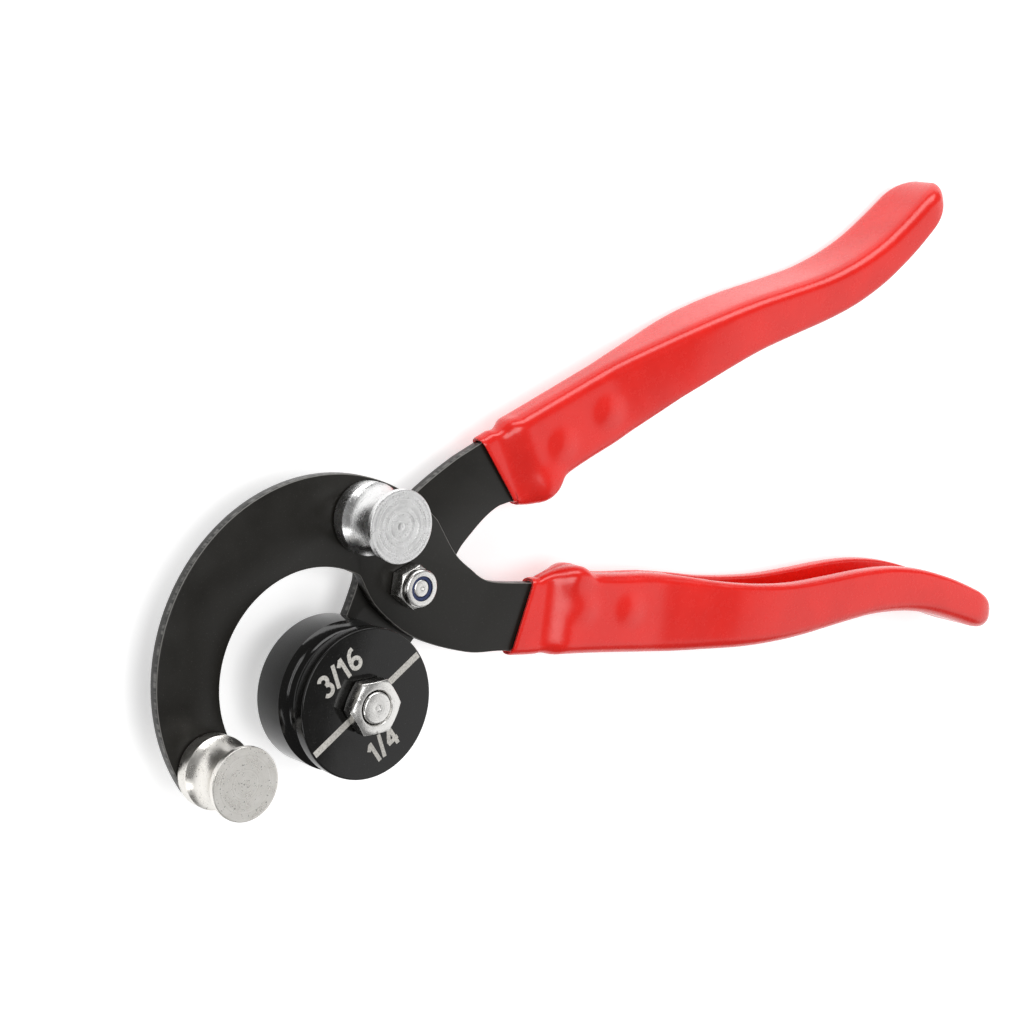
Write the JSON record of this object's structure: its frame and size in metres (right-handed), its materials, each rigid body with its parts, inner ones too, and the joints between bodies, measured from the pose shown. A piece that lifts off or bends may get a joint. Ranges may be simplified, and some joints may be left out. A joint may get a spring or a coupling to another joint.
{
  "type": "tube bending pliers",
  "caption": "Plier-type tube bender: a C-jaw with grooved rollers, a turnable two-size forming die on the crossing arm, and long handles dipped in red vinyl.",
  "frame": {"origin": "centre of the bounding box in plan, on the plane the tool lies on", "axes": "+X from the jaws to the handle tips, +Z along the pivot, roller and die axes towards the die's marked face, +Y towards the upper handle"},
  "size_m": [0.2842, 0.1354, 0.0364],
  "materials": {
    "black_steel": "satin black coating on sheared steel plate",
    "black_die": "smooth black oxide, glossier than the arms",
    "zinc_plate": "bright zinc plate over turned steel",
    "red_vinyl": "glossy dipped vinyl",
    "blue_nylon": "moulded nylon",
    "bare_steel": "bare pressed steel"
  },
  "bodies": {
    "front_assembly": {"front_arm": "black_steel", "pivot_bolt": "zinc_plate", "pivot_washer": "zinc_plate", "pivot_lock_nut": "zinc_plate", "pivot_nut_ring": "blue_nylon", "upper_roller_washer": "zinc_plate", "lower_roller_washer": "zinc_plate", "lower_handle_channel": "bare_steel", "lower_rivet_inner": "bare_steel", "lower_rivet_outer": "bare_steel", "lower_grip": "red_vinyl"},
    "rear_assembly": {"rear_arm": "black_steel", "die_bolt": "zinc_plate", "die_washer": "zinc_plate", "upper_handle_channel": "bare_steel", "upper_rivet_inner": "bare_steel", "upper_rivet_outer": "bare_steel", "upper_grip": "red_vinyl"},
    "upper_roller": {"upper_roller": "zinc_plate"},
    "lower_roller": {"lower_roller": "zinc_plate"},
    "bending_die": {"bending_die": "black_die"},
    "die_nut": {"die_nut": "zinc_plate"}
  },
  "joints": [
    {"name": "jaw_pivot", "type": "hinge", "parent": "front_assembly", "child": "rear_assembly", "pos_m": [-0.06675, -0.00032, 0.0148], "axis": [0, 0, -1], "range_deg": [-18, 22]},
    {"name": "upper_roller_spin", "type": "hinge", "parent": "front_assembly", "child": "upper_roller", "pos_m": [-0.07755, 0.02031, 0.0148], "axis": [0, 0, 1], "continuous": true},
    {"name": "lower_roller_spin", "type": "hinge", "parent": "front_assembly", "child": "lower_roller", "pos_m": [-0.13034, -0.03, 0.0148], "axis": [0, 0, 1], "continuous": true},
    {"name": "die_turn", "type": "hinge", "parent": "rear_assembly", "child": "bending_die", "pos_m": [-0.09412, -0.0205, 0.0148], "axis": [0, 0, 1], "continuous": true},
    {"name": "die_nut_turn", "type": "hinge", "parent": "rear_assembly", "child": "die_nut", "pos_m": [-0.09412, -0.0205, 0.0148], "axis": [0, 0, 1], "range_deg": [0, 120]}
  ]
}
